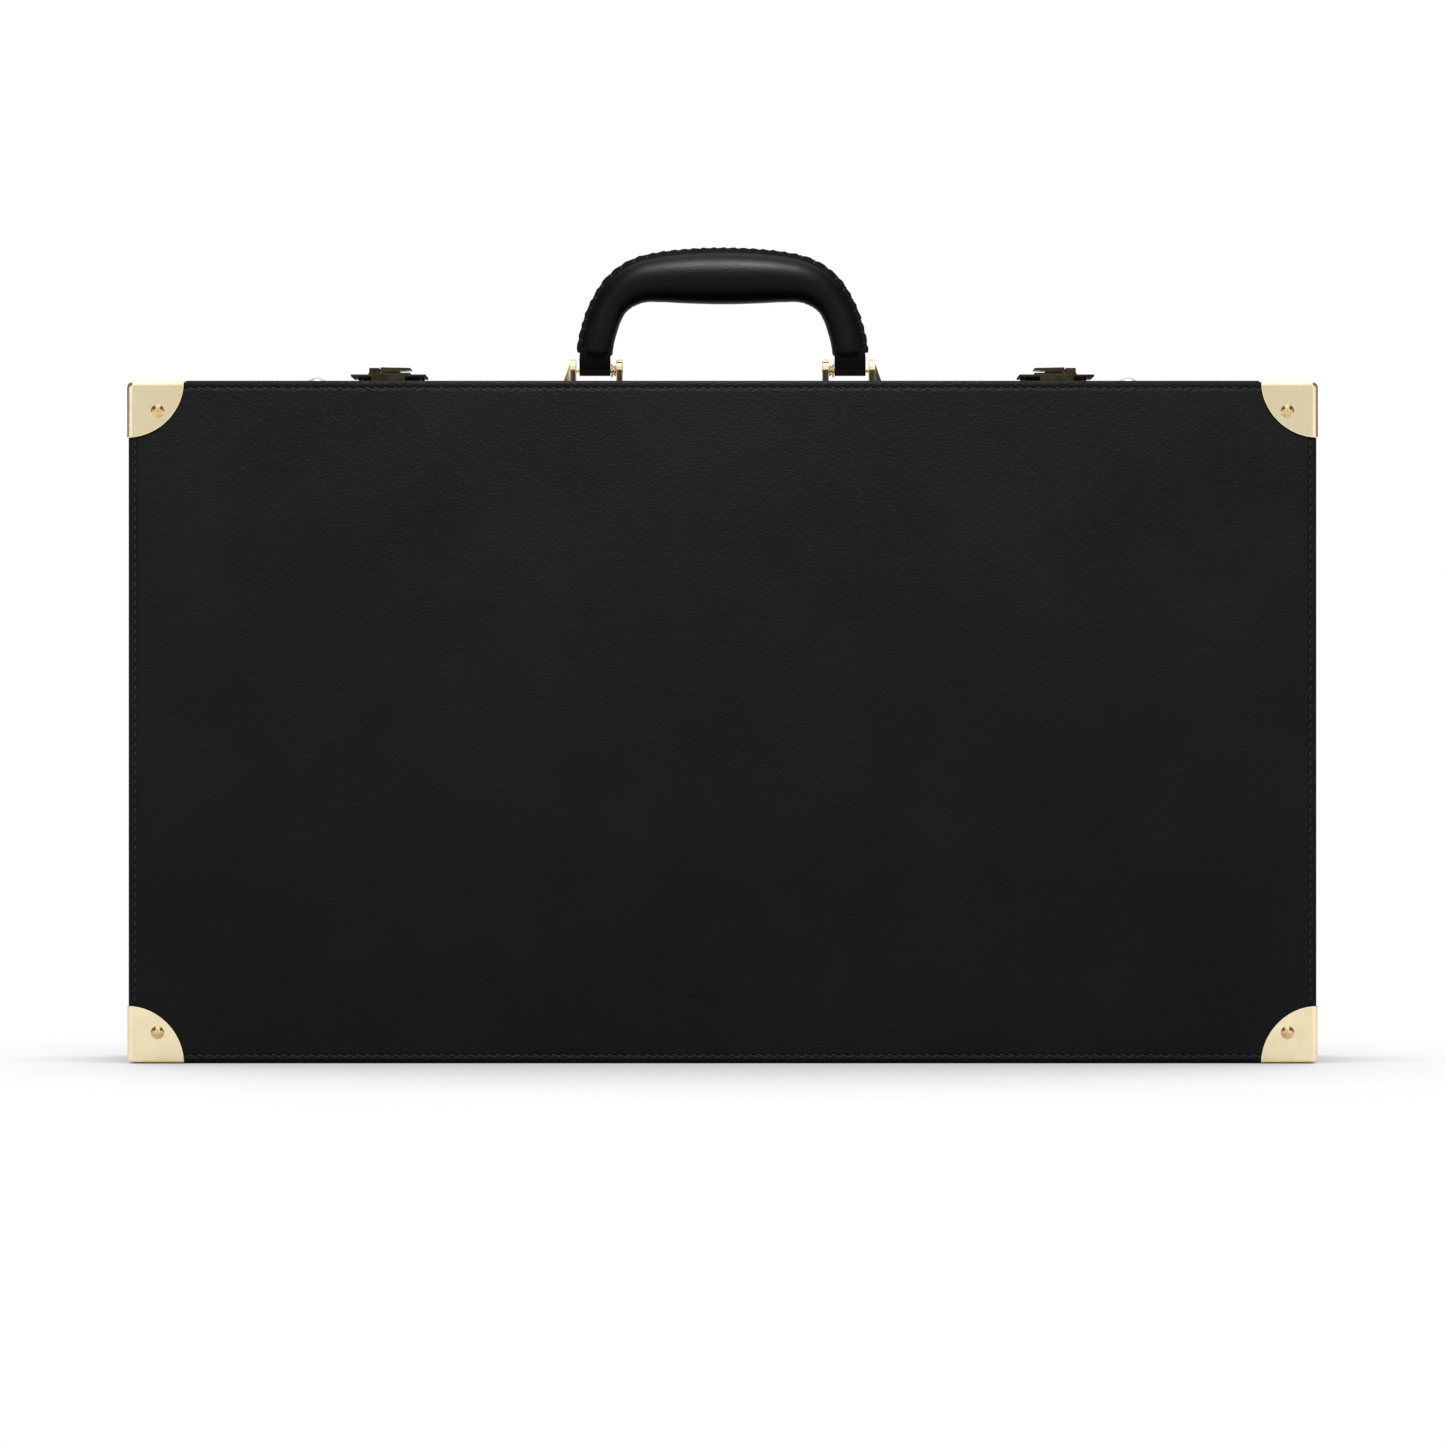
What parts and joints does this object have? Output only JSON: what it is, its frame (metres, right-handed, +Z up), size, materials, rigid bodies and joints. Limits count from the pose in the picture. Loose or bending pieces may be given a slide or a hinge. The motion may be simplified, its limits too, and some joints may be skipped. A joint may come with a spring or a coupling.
{
  "type": "poker chip case",
  "caption": "Hard leather-covered chip case with brass corner caps, slide latches, padded carrying handle and a hinged lid over fitted trays.",
  "frame": {"origin": "on the floor, under the middle of the closed case standing on its hinge edge", "axes": "+X to the right, +Z up, the lid faces -Y"},
  "size_m": [0.56, 0.0826, 0.3877],
  "materials": {
    "black_leather": "fine-grained black leather with a low sheen",
    "plywood": "sanded board",
    "pale_brass": "polished pale gold plating",
    "gold_brass": "polished brass",
    "dark_nickel": "dark antique plating",
    "nickel": "satin nickel plating",
    "steel": "zinc-plated steel",
    "black_flock": "black flocked velvet"
  },
  "bodies": {
    "base": {"base_top_board": "plywood", "base_bottom_board": "plywood", "base_end_board_left": "plywood", "base_end_board_right": "plywood", "base_back_panel": "plywood", "base_back_leather": "black_leather", "base_band_leather": "black_leather", "base_cap_bottom_left": "pale_brass", "base_cap_bottom_right": "pale_brass", "base_cap_top_left": "pale_brass", "base_cap_top_right": "pale_brass", "hinge_leaf_base": "steel", "hinge_pin": "steel", "chip_tray_left": "black_flock", "chip_tray_right": "black_flock", "centre_tray": "black_flock", "stay_post_base_left": "steel", "stay_post_base_right": "steel", "latch_plate_left": "dark_nickel", "latch_plate_right": "dark_nickel", "hasp_pin_left": "steel", "hasp_pin_right": "steel", "handle_bracket_left": "gold_brass", "handle_bracket_right": "gold_brass", "handle_axle_left": "gold_brass", "handle_axle_right": "gold_brass", "dome_stud_left": "nickel", "dome_stud_right": "nickel"},
    "lid": {"lid_top_board": "plywood", "lid_bottom_board": "plywood", "lid_end_board_left": "plywood", "lid_end_board_right": "plywood", "lid_front_panel": "plywood", "lid_front_leather": "black_leather", "lid_band_leather": "black_leather", "lid_cap_bottom_left": "pale_brass", "lid_cap_bottom_right": "pale_brass", "lid_cap_top_left": "pale_brass", "lid_cap_top_right": "pale_brass", "hinge_leaf_lid": "steel", "lid_lining": "black_flock", "stay_post_lid_left": "steel", "stay_post_lid_right": "steel", "keeper_left": "dark_nickel", "keeper_right": "dark_nickel"},
    "handle": {"handle_grip": "black_leather", "handle_washer_left": "gold_brass", "handle_washer_right": "gold_brass"},
    "hasp_left": {"hasp_left": "dark_nickel", "latch_spring_left": "steel"},
    "latch_slider_left": {"latch_slider_left": "dark_nickel"},
    "stay_lower_left": {"stay_lower_left": "steel"},
    "stay_upper_left": {"stay_upper_left": "steel"},
    "hasp_right": {"hasp_right": "dark_nickel", "latch_spring_right": "steel"},
    "latch_slider_right": {"latch_slider_right": "dark_nickel"},
    "stay_lower_right": {"stay_lower_right": "steel"},
    "stay_upper_right": {"stay_upper_right": "steel"}
  },
  "joints": [
    {"name": "lid_hinge", "type": "hinge", "parent": "base", "child": "lid", "pos_m": [0, -0.012, 0.0042], "axis": [1, 0, 0], "range_deg": [0, 105]},
    {"name": "handle_swing", "type": "hinge", "parent": "base", "child": "handle", "pos_m": [0, 0.014, 0.3284], "axis": [1, 0, 0], "range_deg": [-80, 80]},
    {"name": "hasp_left_flip", "type": "hinge", "parent": "base", "child": "hasp_left", "pos_m": [-0.158, 0.01, 0.3232], "axis": [-1, 0, 0], "range_deg": [0, 80]},
    {"name": "latch_left_slide", "type": "slide", "parent": "hasp_left", "child": "latch_slider_left", "axis": [1, 0, 0], "range_m": [0, 0.0045], "stiffness_N_per_m": 300, "springref_m": -0.002, "deforming": ["latch_spring_left"]},
    {"name": "stay_lower_left_turn", "type": "hinge", "parent": "base", "child": "stay_lower_left", "pos_m": [-0.2697, 0, 0.10348], "axis": [1, 0, 0], "range_deg": [0, 105]},
    {"name": "stay_upper_left_turn", "type": "hinge", "parent": "lid", "child": "stay_upper_left", "pos_m": [-0.2697, -0.02, 0.10388], "axis": [1, 0, 0], "range_deg": [-105, 0]},
    {"name": "hasp_right_flip", "type": "hinge", "parent": "base", "child": "hasp_right", "pos_m": [0.158, 0.01, 0.3232], "axis": [-1, 0, 0], "range_deg": [0, 80]},
    {"name": "latch_right_slide", "type": "slide", "parent": "hasp_right", "child": "latch_slider_right", "axis": [-1, 0, 0], "range_m": [0, 0.0045], "stiffness_N_per_m": 300, "springref_m": -0.002, "deforming": ["latch_spring_right"]},
    {"name": "stay_lower_right_turn", "type": "hinge", "parent": "base", "child": "stay_lower_right", "pos_m": [0.2697, 0, 0.10348], "axis": [1, 0, 0], "range_deg": [0, 105]},
    {"name": "stay_upper_right_turn", "type": "hinge", "parent": "lid", "child": "stay_upper_right", "pos_m": [0.2697, -0.02, 0.10388], "axis": [1, 0, 0], "range_deg": [-105, 0]}
  ],
  "couplings": [
    {"joint": "stay_lower_left_turn", "follows": "lid_hinge", "ratio": 1},
    {"joint": "stay_upper_left_turn", "follows": "lid_hinge", "ratio": -1},
    {"joint": "stay_lower_right_turn", "follows": "lid_hinge", "ratio": 1},
    {"joint": "stay_upper_right_turn", "follows": "lid_hinge", "ratio": -1}
  ]
}
